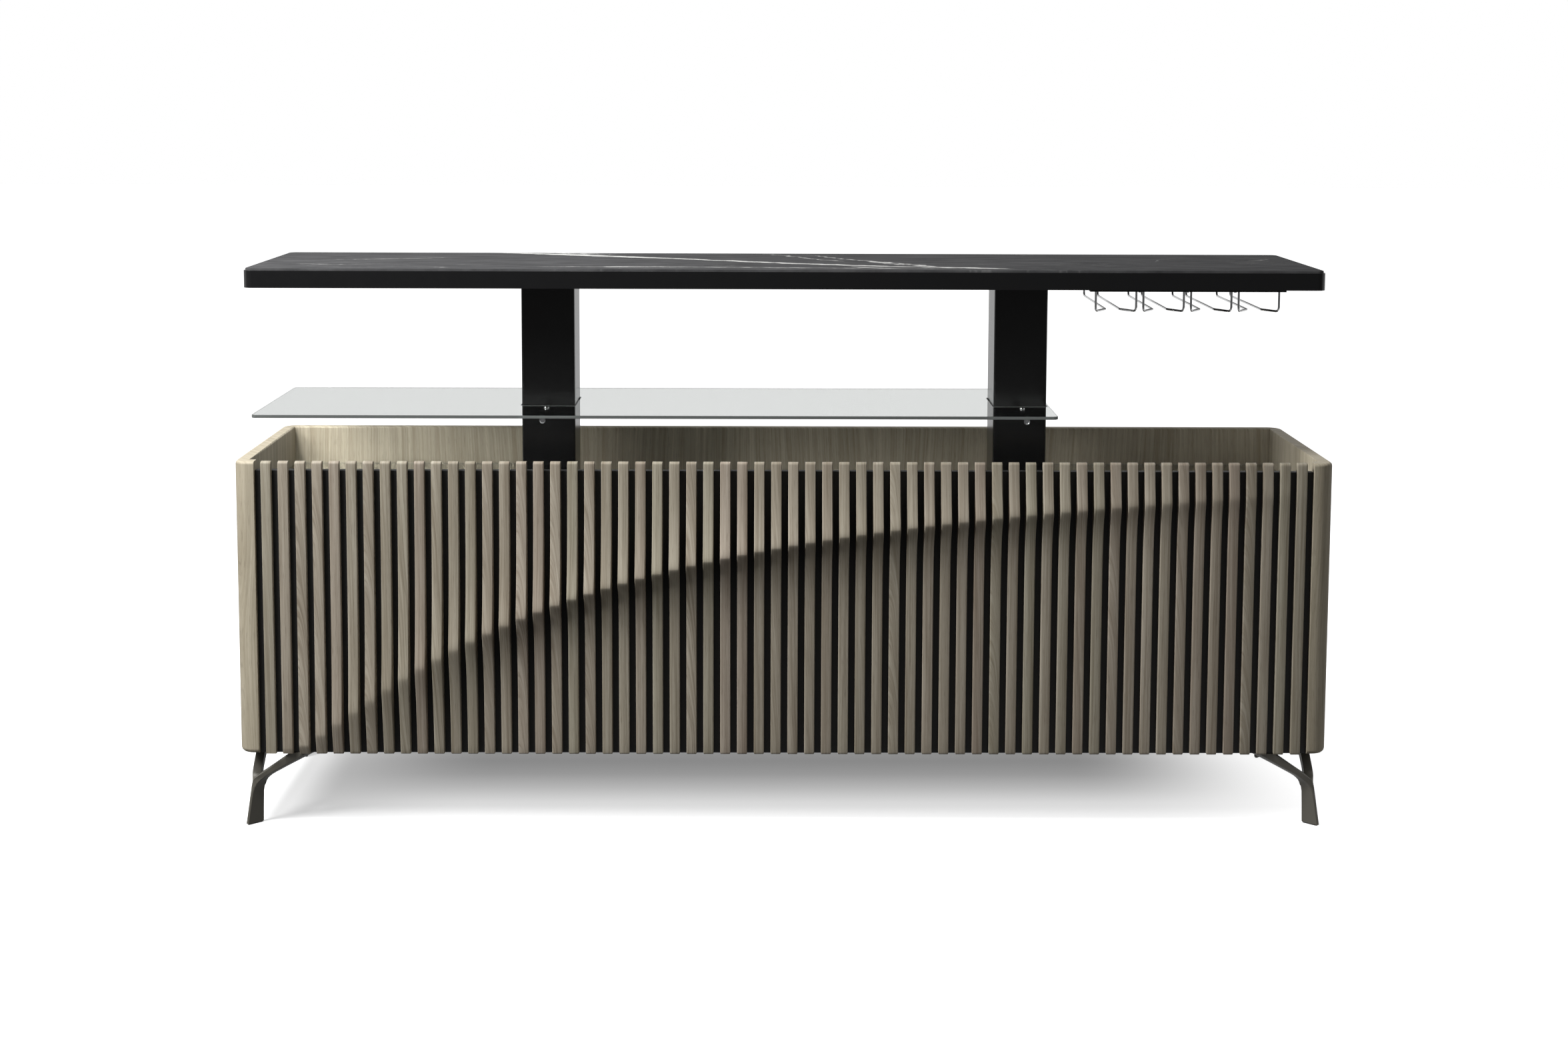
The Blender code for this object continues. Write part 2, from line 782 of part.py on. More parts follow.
def build_drive(word, x):
    """A linear drive inside a mast: gearbox, motor and tube in one, and the rod that it pushes."""
    tube_profile = (
        (0, drive_bore_floor),
        (drive_bore_radius, drive_bore_floor),
        (drive_bore_radius, drive_tube_top),
        (drive_tube_radius, drive_tube_top),
        (drive_tube_radius, gearbox_height / 2),
        (0, gearbox_height / 2),
    )
    mesh = block("drive_" + word, gearbox_width, gearbox_depth, gearbox_height)
    middle = (motor_offset - drive_offset) / 2
    drive = piece("drive_" + word, mesh, plastic_black, (x, middle, mast_foot))
    ease_edges(drive, rim_inner_round)
    tube = cutter("drive_tube_" + word, profile_mesh("drive_tube_" + word, tube_profile), (x, -drive_offset, mast_foot))
    turn_round(tube)
    combine(drive, tube, "UNION")
    can = drum("motor_" + word, motor_radius, motor_height)
    motor_foot = mast_foot + gearbox_height / 2
    combine(drive, cutter("motor_" + word, can, (x, motor_offset, motor_foot)), "UNION")
    rod_top = sleeve_top - mast_foot
    rod_end = drive_tube_top - rod_insertion
    rod_profile = (
        (0, rod_top),
        (rod_flange_radius, rod_top),
        (rod_flange_radius, rod_top - rod_flange_thickness),
        (rod_radius, rod_top - rod_flange_thickness),
        (rod_radius, rod_end),
        (0, rod_end),
    )
    mesh = profile_mesh("push_rod_" + word, rod_profile)
    rod = piece("push_rod_" + word, mesh, zinc, (x, -drive_offset, mast_foot), moving=True)
    turn_round(rod)


# Glass shelves and what carries them
def build_glass():
    right_end = column_x + column_width / 2 + shelf_right_overhang
    width = shelf_left_end + right_end
    center_x = (right_end - shelf_left_end) / 2
    cap_y = column_depth / 2 + cap_distance
    loops = [rounded_rectangle(width, glass_depth, glass_corner, center_x, steps=4)]
    for side in (-1, 1):
        notch_width = column_width + 2 * notch_room
        notch_depth = column_depth + 2 * notch_room
        loops.append(rounded_rectangle(notch_width, notch_depth, column_corner, side * column_x))
        for front in (-1, 1):
            hole = cap_shank_radius + cap_hole_room
            loops.append(arc(side * column_x, front * cap_y, hole, 0, 330, 11))
    mesh = plate("glass_shelf", loops, glass_thickness)
    underside = glass_top - glass_thickness
    piece("glass_shelf", mesh, clear_glass, (0, 0, underside), moving=True)
    peg_level = underside - seat_gap - peg_radius
    peg_profile = (
        (0, peg_length - peg_dish_depth),
        (peg_dish_radius, peg_length - peg_dish_depth),
        (peg_dish_radius + peg_dish_depth, peg_length),
        (peg_radius, peg_length),
        (peg_radius, 0),
        (0, 0),
    )
    cap_profile = (
        (0, cap_height),
        (cap_radius * cap_crown_share, cap_height),
        (cap_radius * cap_brow_share, cap_height * cap_brow_height_share),
        (cap_radius, cap_height * cap_base_height_share),
        (cap_radius, 0),
        (cap_shank_radius, 0),
        (cap_shank_radius, -glass_thickness),
        (0, -glass_thickness),
    )
    for word, side in (("left", -1), ("right", 1)):
        for end, front in (("front", -1), ("back", 1)):
            name = "glass_peg_" + word + "_" + end
            face = front * (column_depth / 2 + seat_gap)
            spot = (side * column_x, face, peg_level)
            peg = piece(name, profile_mesh(name, peg_profile), chrome, spot, (-90 * front, 0, 0), True)
            turn_round(peg, 16)
            name = "glass_cap_" + word + "_" + end
            spot = (side * column_x, front * cap_y, glass_top + seat_gap)
            cap = piece(name, profile_mesh(name, cap_profile), chrome, spot, moving=True)
            turn_round(cap, 16)
    build_well_shelves()


def build_well_shelves():
    """The two low shelves inside the well, each on two arms bolted to a column's side."""
    inner = column_x + column_width / 2 + well_shelf_room
    width = shelf_left_end - inner
    underside = well_glass_top - glass_thickness
    arm_top = underside - seat_gap
    root = column_x + column_width / 2 + seat_gap
    arm_length = shelf_left_end - arm_tip_room - root
    outline = (
        (0, 0),
        (arm_length, 0),
        (arm_length, -arm_tip_height),
        (arm_flange_thickness, -arm_root_height),
        (arm_flange_thickness, -arm_flange_height),
        (0, -arm_flange_height),
    )
    for word, side in (("left", -1), ("right", 1)):
        center = side * (inner + shelf_left_end) / 2
        outline_glass = rounded_rectangle(width, glass_depth, glass_corner, steps=4)
        mesh = plate("well_shelf_" + word, [outline_glass], glass_thickness)
        piece("well_shelf_" + word, mesh, clear_glass, (center, 0, underside), moving=True)
        for end, front in (("front", -1), ("back", 1)):
            name = "shelf_arm_" + word + "_" + end
            points = [(side * x, y) for x, y in outline]
            mesh = plate(name, [points], arm_thickness)
            mesh.transform(Matrix.Translation((0, 0, -arm_thickness / 2)))
            mesh.transform(Matrix.Rotation(math.radians(90), 4, "X"))
            y = front * arm_spacing / 2
            arm = piece(name, mesh, steel_black, (side * root, y, arm_top), moving=True)
            foot = block(name + "_flange", arm_flange_thickness, arm_flange_width, arm_flange_height)
            spot = (side * (root + arm_flange_thickness / 2), y, arm_top - arm_flange_height)
            combine(arm, cutter(name + "_flange", foot, spot, moving=True), "UNION")


# Stemware racks: bent wires that hang under the right end of the top
def build_racks():
    strip_underside = top_underside - seat_gap - rack_strip_thickness
    wire_top = strip_underside - seat_gap
    level = top_underside - rack_drop
    front_y = -top_depth / 2 + rack_front_setback
    back_y = front_y + rack_length
    mouth = rack_mouth / 2
    rail = rack_rail_spacing / 2
    cross_level = wire_top - rack_wire_radius
    for index in range(rack_count):
        half = [
            (mouth, front_y, wire_top),
            (mouth, front_y, level),
            (rail, front_y + rack_flare_length, level),
            (rail, back_y, level),
            (rail, back_y, cross_level),
        ]
        corners = half + [(-x, y, z) for x, y, z in reversed(half)]
        spot = (rack_first + index * rack_pitch, 0, 0)
        curve = wire("stem_rack_" + str(index + 1), bent(corners, rack_bend), rack_wire_radius)
        piece("stem_rack_" + str(index + 1), curve, chrome, spot, moving=True)
    length = (rack_count - 1) * rack_pitch + rack_mouth + 2 * rack_strip_margin
    middle = rack_first + (rack_count - 1) * rack_pitch / 2
    for word, y in (("front", front_y), ("back", back_y)):
        mesh = block("rack_strip_" + word, length, rack_strip_width, rack_strip_thickness)
        piece("rack_strip_" + word, mesh, steel_black, (middle, y, strip_underside), moving=True)


# Lift control, screwed under the floor, with a socket for a loose mains lead
def build_control():
    y = half_depth - wall - box_setback
    underside = floor_underside - seat_gap - box_height
    mesh = block("control_box", box_width, box_depth, box_height)
    box = piece("control_box", mesh, plastic_black, (0, y, underside))
    ease_edges(box, box_round)
    room = block(
        "inlet_room", inlet_width + 2 * seat_gap, inlet_depth + seat_gap + cut_overrun, inlet_height + 2 * seat_gap
    )
    face = y + box_depth / 2
    level = underside + (box_height - inlet_height) / 2
    spot = (0, face - (inlet_depth + seat_gap - cut_overrun) / 2, level - seat_gap)
    combine(box, cutter("inlet_room", room, spot))
    mesh = block("power_inlet", inlet_width, inlet_depth, inlet_height)
    inlet = piece("power_inlet", mesh, plastic_black, (0, face - inlet_depth / 2, level))
    cavity = block(
        "inlet_cavity",
        inlet_width - 2 * inlet_wall,
        inlet_cavity_depth + cut_overrun,
        inlet_height - 2 * inlet_wall,
    )
    spot = (0, face + (cut_overrun - inlet_cavity_depth) / 2, level + inlet_wall)
    combine(inlet, cutter("inlet_cavity", cavity, spot))


for item in list(bpy.data.objects):
    bpy.data.objects.remove(item, do_unlink=True)
parts = collection("bar_sideboard")
cutters = collection("cutters")
case_centre = guide("case_centre", (0, relief_height / 2, 0))
lift_carriage = guide("lift_carriage", (0, 0, top_underside), case_centre)

build_case()
build_slatted_front()
build_legs()
build_top()
build_columns()
build_glass()
build_racks()
build_control()
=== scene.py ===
import math

import bpy
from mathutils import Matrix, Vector


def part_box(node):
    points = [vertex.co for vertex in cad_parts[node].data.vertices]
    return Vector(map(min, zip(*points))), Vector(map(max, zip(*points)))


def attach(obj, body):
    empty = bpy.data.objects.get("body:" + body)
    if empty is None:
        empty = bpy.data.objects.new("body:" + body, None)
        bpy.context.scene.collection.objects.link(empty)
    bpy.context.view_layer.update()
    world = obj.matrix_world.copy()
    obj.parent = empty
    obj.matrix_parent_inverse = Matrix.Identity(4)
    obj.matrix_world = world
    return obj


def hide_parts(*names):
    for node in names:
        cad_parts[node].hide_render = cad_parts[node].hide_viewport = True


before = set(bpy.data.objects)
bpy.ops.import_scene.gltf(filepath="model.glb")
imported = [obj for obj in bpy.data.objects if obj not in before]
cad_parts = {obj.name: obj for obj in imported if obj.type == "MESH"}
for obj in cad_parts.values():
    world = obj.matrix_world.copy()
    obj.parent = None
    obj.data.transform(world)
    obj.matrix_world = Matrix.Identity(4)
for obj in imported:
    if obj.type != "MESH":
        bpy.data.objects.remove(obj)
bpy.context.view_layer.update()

# Side and back panels: the carcass of the sideboard, with returned posts at the front corners and mitred
# corners at the back. They are board faced with grey stained oak, whose grain runs upright; the rim is
# rounded over, and the panels are glued at the mitres.


class Spot:
    """A socket in a finish's node tree, with the arithmetic that the finishes use."""

    def __init__(self, socket):
        self.socket = socket

    def node(self, kind, settings, values, output=0):
        """A new node in the same tree, set up and fed with numbers, colours or other spots."""
        tree = self.socket.id_data
        made = tree.nodes.new("ShaderNode" + kind)
        for key, value in settings.items():
            if key == "stops":
                while len(made.color_ramp.elements) < len(value):
                    made.color_ramp.elements.new(1)
                for stop, (place, level) in zip(made.color_ramp.elements, value):
                    stop.position = place
                    stop.color = (level, level, level, 1)
            else:
                setattr(made, key, value)
        for key, value in values.items():
            if isinstance(value, Spot):
                tree.links.new(value.socket, made.inputs[key])
            else:
                made.inputs[key].default_value = value
        return Spot(made.outputs[output])

    def split(self):
        """The X, Y and Z of a vector spot."""
        made = self.node("SeparateXYZ", {}, {0: self}).socket.node
        return [Spot(socket) for socket in made.outputs]

    def sum(self, operation, first, second):
        return self.node("Math", {"operation": operation}, {0: first, 1: second})

    def __add__(self, other):
        return self.sum("ADD", self, other)

    __radd__ = __add__

    def __sub__(self, other):
        return self.sum("SUBTRACT", self, other)

    def __rsub__(self, other):
        return self.sum("SUBTRACT", other, self)

    def __mul__(self, other):
        return self.sum("MULTIPLY", self, other)

    def __truediv__(self, other):
        return self.sum("DIVIDE", self, other)


def paint(red, green, blue):
    """A colour given as it looks on a screen, from 0 to 255, as the shader wants it."""
    return tuple(((part / 255 + 0.055) / 1.055) ** 2.4 for part in (red, green, blue)) + (1,)


def finish(name, colour, roughness, **constants):
    """A new material: itself, its shader, and the spot that gives the place on the piece."""
    made = bpy.data.materials.new(name)
    made.use_nodes = True
    shader = made.node_tree.nodes["Principled BSDF"]
    shader.inputs["Base Color"].default_value = colour
    shader.inputs["Roughness"].default_value = roughness
    for key, value in constants.items():
        shader.inputs[key.replace("_", " ")].default_value = value
    place = made.node_tree.nodes.new("ShaderNodeTexCoord")
    return made, shader, Spot(place.outputs["Object"])


def feed(shader, socket, spot):
    """Let a spot drive one of the shader's inputs."""
    shader.id_data.links.new(spot.socket, shader.inputs[socket])


def cloud(x, y, z, detail=2, roughness=0.5):
    """Soft noise between 0 and 1 at a stretched place."""
    maker = next(spot for spot in (x, y, z) if isinstance(spot, Spot))
    place = maker.node("CombineXYZ", {}, {0: x, 1: y, 2: z})
    values = {"Vector": place, "Scale": 1, "Detail": detail, "Roughness": roughness}
    return maker.node("TexNoise", {}, values)


def ramp(spot, *stops):
    """A grey level that runs through the stops, each a place and its level."""
    return spot.node("ValToRGB", {"stops": stops}, {0: spot})


def mingle(mask, first, second):
    """The first colour where the mask is 0, the second where it is 1."""
    return mask.node("Mix", {"data_type": "RGBA"}, {0: mask, 6: first, 7: second}, output=2)


def relief(shader, height, strength, distance):
    """A fine bump on a finish."""
    bump = height.node("Bump", {}, {"Height": height, "Strength": strength, "Distance": distance})
    feed(shader, "Normal", bump)


oak_pale = paint(187, 178, 158)
oak_dark = paint(150, 140, 120)
oak_pore = paint(104, 95, 81)
fibres_per_metre = 330
bands_per_metre = 90
pores_per_metre = 900


def oak_figure(shader, across, along, seed, pale, dark):
    """Colour, gloss and pores of oak whose fibres run one way."""
    fibres = cloud(across * fibres_per_metre, seed, along * 5, 3, 0.55)
    bands = cloud(across * bands_per_metre, seed, along * 0.9, 2)
    pores = ramp(cloud(across * pores_per_metre, seed, along * 36, 2), (0.56, 0), (0.72, 1))
    tone = ramp(fibres * 0.6 + bands * 0.4, (0.34, 0), (0.66, 1))
    colour = mingle(tone, dark, pale)
    feed(shader, "Base Color", mingle(pores * 0.4, colour, oak_pore))
    feed(shader, "Roughness", 0.62 - tone * 0.1)
    shader.inputs["Specular IOR Level"].default_value = 0.25
    relief(shader, fibres - pores * 0.8, 0.2, 0.0004)


def panel_oak(name):
    """Veneer for flat panels: upright grain that wanders into long arches."""
    made, shader, place = finish(name, oak_pale, 0.55)
    x, y, z = place.split()
    width = x + y * 0.83
    wander = cloud(width * 3.1, 0, z * 1.6, 1) - 0.5
    oak_figure(shader, width + wander * 0.08, z, 0.0, oak_pale, oak_dark)
    return made


def dressed(name, body, look, soften=0.0, angle=35):
    """A merged copy of a CAD solid that stands for it: sharp edges softened, curves shaded smooth."""
    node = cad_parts[name]
    twin = bpy.data.objects.new(name + "_piece", node.data.copy())
    bpy.context.scene.collection.objects.link(twin)
    bpy.ops.object.select_all(action="DESELECT")
    twin.select_set(True)
    bpy.context.view_layer.objects.active = twin
    bpy.ops.object.mode_set(mode="EDIT")
    bpy.ops.mesh.select_all(action="SELECT")
    bpy.ops.mesh.customdata_custom_splitnormals_clear()
    bpy.ops.mesh.remove_doubles(threshold=0.00001)
    bpy.ops.mesh.dissolve_limited(angle_limit=math.radians(0.6))
    bpy.ops.object.mode_set(mode="OBJECT")
    if soften:
        bevel = twin.modifiers.new("softened", "BEVEL")
        bevel.width = soften
        bevel.segments = 2
        bevel.limit_method = "ANGLE"
        bevel.angle_limit = math.radians(40)
        bpy.ops.object.modifier_apply(modifier="softened")
    bpy.ops.object.shade_smooth_by_angle(angle=math.radians(angle))
    even = twin.modifiers.new("even_shading", "WEIGHTED_NORMAL")
    even.keep_sharp = True
    bpy.ops.object.modifier_apply(modifier="even_shading")
    twin.data.materials.clear()
    twin.data.materials.append(look)
    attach(twin, body)
    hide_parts(name)
    return twin


panel_edge = 0.0006
carcass_oak = panel_oak("carcass_oak")
for name in ("side_panel_left", "side_panel_right", "back_panel"):
    dressed(name, "case", carcass_oak, panel_edge)

# Bottom panel: a black faced board let in between the panels, a little above their lower edges. The
# backing board of the front, the lift masts and the control box are screwed to it.


def black_board(name, level):
    """Black laminate with a faint grain in its gloss."""
    made, shader, place = finish(name, paint(level, level, level), 0.6)
    x, y, z = place.split()
    speck = cloud(x * 900, y * 900, z * 900, 2)
    feed(shader, "Roughness", 0.55 + speck * 0.15)
    relief(shader, speck, 0.1, 0.0002)
    return made


floor_edge = 0.0005
dressed("bottom_panel", "case", black_board("floor_black", 26), floor_edge)

# Slatted front: 62 solid oak slats glued into grooves of a black board, their faces milled to one relief.
# The relief swells downwards to a crest that climbs from the left foot to the right, and falls away
# under it. Each slat is cut square across to one side profile, and has a grain and a tint of its own.
front_low, front_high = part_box("slatted_front")
side_low, side_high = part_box("side_panel_left")
front_plane = side_low.y
slat_count = 62
slat_width = 0.0197
slat_depth = 0.012
opening_left = side_high.x
slat_gap = (-2 * opening_left - slat_count * slat_width) / (slat_count + 1)
slat_pitch = slat_width + slat_gap
slat_foot = front_low.z
slat_top = front_high.z
slat_round = 0.005
slat_ease = 0.0016
slat_rows = 56
groove_depth = 0.002
touch = 1e-5
row_crowding = 1.8
relief_height = front_plane - front_low.y
relief_lean = 0.75
crest_start = -0.963
crest_half_run = 0.5246
crest_bend = 1.326
crest_limit = 0.598
crest_floor = 0.012
crest_nose = 0.008
swell_length = 0.14
fall_shortest = 0.03
fall_extra = 0.55
fall_fade = 0.26


def relief_depth(x):
    """How far the crest itself stands out at x: nothing at its start and at the right end."""
    run = (x - crest_start) / (-opening_left - crest_start)
    return relief_height * math.sin(math.pi * min(max(run, 0), 1) ** relief_lean)


def crest_level(x):
    """The crest's height at x: a steep climb at the left that levels out to the right."""
    climb = (max(x - crest_start, 0) / crest_half_run) ** crest_bend
    return slat_foot + max(crest_limit * climb / (1 + climb), crest_floor)


def relief_at(x, z):
    """How far the slat whose middle is at x stands out at a height: most at its crest, which is rounded."""
    crest = crest_level(x)
    off = abs(z - crest)
    if z >= crest:
        whole, length = slat_top - crest, swell_length
    else:
        whole = crest - slat_foot
        length = fall_shortest + fall_extra * math.exp(-(((x - crest_start) / fall_fade) ** 2))
    eased = math.hypot(off, crest_nose) - crest_nose
    reach = math.hypot(whole, crest_nose) - crest_nose
    return relief_depth(x) * max(1 - eased / reach, 0) * math.exp(-eased / length)


def slat_oak():
    """Solid oak: straight grain on most slats, arches and slanted rings on some."""
    made, shader, place = finish("slat_oak", oak_pale, 0.55)
    x, _, z = place.split()
    number = x.node("Math", {"operation": "FLOOR"}, {0: (x - opening_left - slat_gap / 2) / slat_pitch})
    chance = x.node("TexWhiteNoise", {"noise_dimensions": "1D"}, {"W": number}, output=1)
    curl, tint, shade = chance.split()
    aside = x - opening_left - slat_gap - slat_width / 2 - number * slat_pitch
    arched = ramp(curl, (0.5, 0), (0.95, 1))
    wander = cloud(number * 3.7, 0, z * 4, 1) - 0.5
    slant = (z * 0.16 + aside * aside * 60 + wander * 0.03) * arched
    across = aside + number * 0.317 + slant + wander * 0.006
    green = mingle(shade, paint(163, 157, 141), paint(177, 171, 154))
    pink = mingle(shade, paint(165, 154, 141), paint(180, 169, 155))
    pale = mingle(tint, green, pink)
    dark = mingle(tint, paint(130, 122, 104), paint(134, 121, 107))
    oak_figure(shader, across, z, number * 1.7, pale, dark)
    return made


def slat_blank():
    """One slat before milling: its top front edge rounded, its long edges eased, cut into rows."""
    bpy.ops.object.select_all(action="DESELECT")
    middle = (slat_width / 2, front_plane + slat_depth / 2, (slat_foot + slat_top) / 2)
    stick = (slat_width, slat_depth, slat_top - slat_foot)
    bpy.ops.mesh.primitive_cube_add(size=1, location=middle, scale=stick)
    blank = bpy.context.object
    bpy.ops.object.transform_apply(location=True, rotation=True, scale=True)
    pick(blank, lambda spot: spot.z > slat_top - touch and spot.y < front_plane + touch)
    bpy.ops.mesh.bevel(offset=slat_round, segments=4)
    bpy.ops.object.mode_set(mode="OBJECT")
    back = front_plane + slat_depth - touch
    pick(blank, lambda spot: spot.z < slat_top - 2 * touch and spot.y < back, edges=True)
    bpy.ops.mesh.bevel(offset=slat_ease, segments=3)
    bpy.ops.object.mode_set(mode="OBJECT")
    level = slat_top - slat_round
    pick(blank, lambda spot: abs(spot.z - (slat_foot + level) / 2) < 0.01, edges=True)
    bpy.ops.mesh.subdivide(number_cuts=slat_rows - 1)
    bpy.ops.object.mode_set(mode="OBJECT")
    return blank


def pick(piece, wanted, edges=False):
    """Select a piece's corners, or its edges by their middles, by place, and go into edit mode."""
    bpy.ops.object.select_all(action="DESELECT")
    piece.select_set(True)
    bpy.context.view_layer.objects.active = piece
    bpy.ops.object.mode_set(mode="EDIT")
    bpy.ops.mesh.select_mode(type="EDGE" if edges else "VERT")
    bpy.ops.mesh.select_all(action="DESELECT")
    bpy.ops.object.mode_set(mode="OBJECT")
    mesh = piece.data
    if edges:
        for edge in mesh.edges:
            ends = [mesh.vertices[index].co for index in edge.vertices]
            edge.select = wanted((ends[0] + ends[1]) / 2)
    else:
        for corner in mesh.vertices:
            corner.select = wanted(corner.co)
    bpy.ops.object.mode_set(mode="EDIT")


def mill(piece, left):
    """Move a blank to its place and its face out to the relief, with a row of corners on the crest."""
    level = slat_top - slat_round
    middle = left + slat_width / 2
    crest = crest_level(middle)
    for corner in piece.data.vertices:
        place = corner.co
        place.x += left
        if place.z < level + touch:
            share = (place.z - slat_foot) / (level - slat_foot)
            if share < 0.5:
                back = 1 - 2 * share
                place.z = crest - (crest - slat_foot) * back**row_crowding
            else:
                place.z = crest + (level - crest) * (2 * share - 1) ** row_crowding
        if place.y < front_plane + slat_depth - groove_depth:
            place.y -= relief_at(middle, min(place.z, level))


oak_sticks = slat_oak()
blank = slat_blank()
for index in range(slat_count):
    slat = blank if index == slat_count - 1 else blank.copy()
    if slat is not blank:
        slat.data = blank.data.copy()
        bpy.context.scene.collection.objects.link(slat)
    slat.name = "slat_%02d" % (index + 1)
    mill(slat, opening_left + slat_gap + index * slat_pitch)
    bpy.ops.object.select_all(action="DESELECT")
    slat.select_set(True)
    bpy.context.view_layer.objects.active = slat
    bpy.ops.object.shade_smooth_by_angle(angle=math.radians(40))
    slat.data.materials.append(oak_sticks)
    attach(slat, "case")
    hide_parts("slatted_front")
bpy.ops.object.select_all(action="DESELECT")
hair_gap = 0.0003
board_foot = slat_foot + hair_gap
board_top = slat_top - 0.018
board_front = front_plane + 0.010
board_back = front_plane + 0.028
board_middle = (0, (board_front + board_back) / 2, (board_foot + board_top) / 2)
board_size = (-2 * (opening_left + hair_gap), board_back - board_front, board_top - board_foot)
bpy.ops.mesh.primitive_cube_add(size=1, location=board_middle, scale=board_size)
board = bpy.context.object
board.name = "front_board"
bpy.ops.object.transform_apply(location=True, rotation=True, scale=True)
pick(board, lambda spot: True)
bpy.ops.mesh.bevel(offset=panel_edge, segments=2)
bpy.ops.object.mode_set(mode="OBJECT")
for side in ("left", "right"):
    plate_low, plate_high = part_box("leg_plate_front_" + side)
    room = Vector((hair_gap, hair_gap, hair_gap))
    bpy.ops.mesh.primitive_cube_add(
        size=1, location=(plate_low + plate_high) / 2, scale=plate_high - plate_low + room * 2
    )
    notch = bpy.context.object
    cut = board.modifiers.new("plate_room", "BOOLEAN")
    cut.object = notch
    cut.solver = "EXACT"
    bpy.context.view_layer.objects.active = board
    bpy.ops.object.modifier_apply(modifier="plate_room")
    bpy.data.objects.remove(notch)
board.data.materials.append(black_board("front_black", 24))
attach(board, "case")
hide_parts("slatted_front")

# Legs: one casting at each corner, a blade set across the corner that splits into two arms along the
# case, painted dark olive. Each is bolted to an angle plate let into the underside and stands on a
# slim nylon glide.


def cast_paint():
    """Paint over a casting: a soft ripple in the gloss."""
    made, shader, place = finish("cast_olive", paint(94, 91, 83), 0.45, Metallic=0.1)
    x, y, z = place.split()
    ripple = cloud(x * 260, y * 260, z * 260, 3)
    feed(shader, "Roughness", 0.36 + ripple * 0.16)
    relief(shader, ripple, 0.16, 0.0004)
    return made


def plastic(name, colour, roughness):
    """Moulded plastic with a fine spark eroded skin."""
    made, shader, place = finish(name, colour, roughness)
    x, y, z = place.split()
    skin = cloud(x * 1500, y * 1500, z * 1500, 2)
    feed(shader, "Roughness", roughness - 0.06 + skin * 0.12)
    relief(shader, skin, 0.1, 0.0001)
    return made


def powder_coat(name, level, roughness):
    """Black powder coat with a slight orange peel."""
    made, shader, place = finish(name, paint(level, level, level), roughness)
    x, y, z = place.split()
    peel = cloud(x * 420, y * 420, z * 420, 2)
    feed(shader, "Roughness", roughness - 0.03 + peel * 0.06)
    relief(shader, peel, 0.04, 0.0002)
    return made


olive = cast_paint()
glide_nylon = plastic("glide_nylon", paint(52, 52, 50), 0.5)
plate_black = powder_coat("plate_black", 24, 0.4)
casting_angle = 42
plate_edge = 0.0004
fine_edge = 0.0003
for corner in ("front_left", "front_right", "back_left", "back_right"):
    dressed("leg_" + corner, "case", olive, 0.0, casting_angle)
    dressed("leg_plate_" + corner, "case", plate_black, plate_edge)
    dressed("glide_" + corner, "case", glide_nylon, fine_edge)

# Lift masts: rectangular zinc plated tubes on base plates that are bolted to the floor of the well. Nylon
# collars fill the play between mast and sleeve, and a motor drive stands inside each mast.


def zinc_plate():
    """Zinc plating, drawn along the tube."""
    made, shader, place = finish("zinc_plate", paint(176, 178, 180), 0.35, Metallic=1.0)
    x, y, z = place.split()
    drawn = cloud(x * 900, y * 900, z * 14, 3)
    feed(shader, "Roughness", 0.3 + drawn * 0.16)
    return made


rim_share = 0.18
socket_share = 0.52
head_gap = 0.0001


def cap_screw(radius, height):
    """A screw head that stands on zero: its rim eased and a hexagon socket sunk in its top."""
    bpy.ops.object.select_all(action="DESELECT")
    middle = (0, 0, height / 2)
    bpy.ops.mesh.primitive_cylinder_add(vertices=28, radius=radius, depth=height, location=middle)
    screw = bpy.context.object
    bpy.ops.object.transform_apply(location=True, rotation=True, scale=True)
    pick(screw, lambda spot: spot.z > height - 1e-6)
    bpy.ops.mesh.bevel(offset=min(radius, height) * rim_share, segments=2)
    bpy.ops.object.mode_set(mode="OBJECT")
    socket = radius * socket_share
    bpy.ops.mesh.primitive_cylinder_add(vertices=6, radius=socket, depth=height, location=(0, 0, height))
    hexagon = bpy.context.object
    cut = screw.modifiers.new("socket", "BOOLEAN")
    cut.object = hexagon
    cut.solver = "EXACT"
    bpy.context.view_layer.objects.active = screw
    bpy.ops.object.modifier_apply(modifier="socket")
    bpy.data.objects.remove(hexagon)
    screw.select_set(True)
    bpy.ops.object.shade_smooth_by_angle(angle=math.radians(35))
    screw.data.materials.append(zinc)
    return screw


def screw_in(host, body, radius, height, inset, upward, across=None):
    """Screws in a plate's four corners, or along its middle line at the given places across."""
    low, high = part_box(host)
    if across:
        spots = [(x, (low.y + high.y) / 2) for x in across]
    else:
        spots = [(x, y) for x in (low.x + inset, high.x - inset) for y in (low.y + inset, high.y - inset)]
    level = high.z + head_gap if upward else low.z - head_gap
    turn = 1 if upward else -1
    first = cap_screw(radius, height)
    for number, (x, y) in enumerate(spots, 1):
        screw = first if number == len(spots) else first.copy()
        if screw is not first:
            screw.data = first.data.copy()
            bpy.context.scene.collection.objects.link(screw)
        screw.name = "%s_screw_%d" % (host, number)
        for corner in screw.data.vertices:
            corner.co = Vector((corner.co.x + x, corner.co.y * turn + y, corner.co.z * turn + level))
        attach(screw, body)


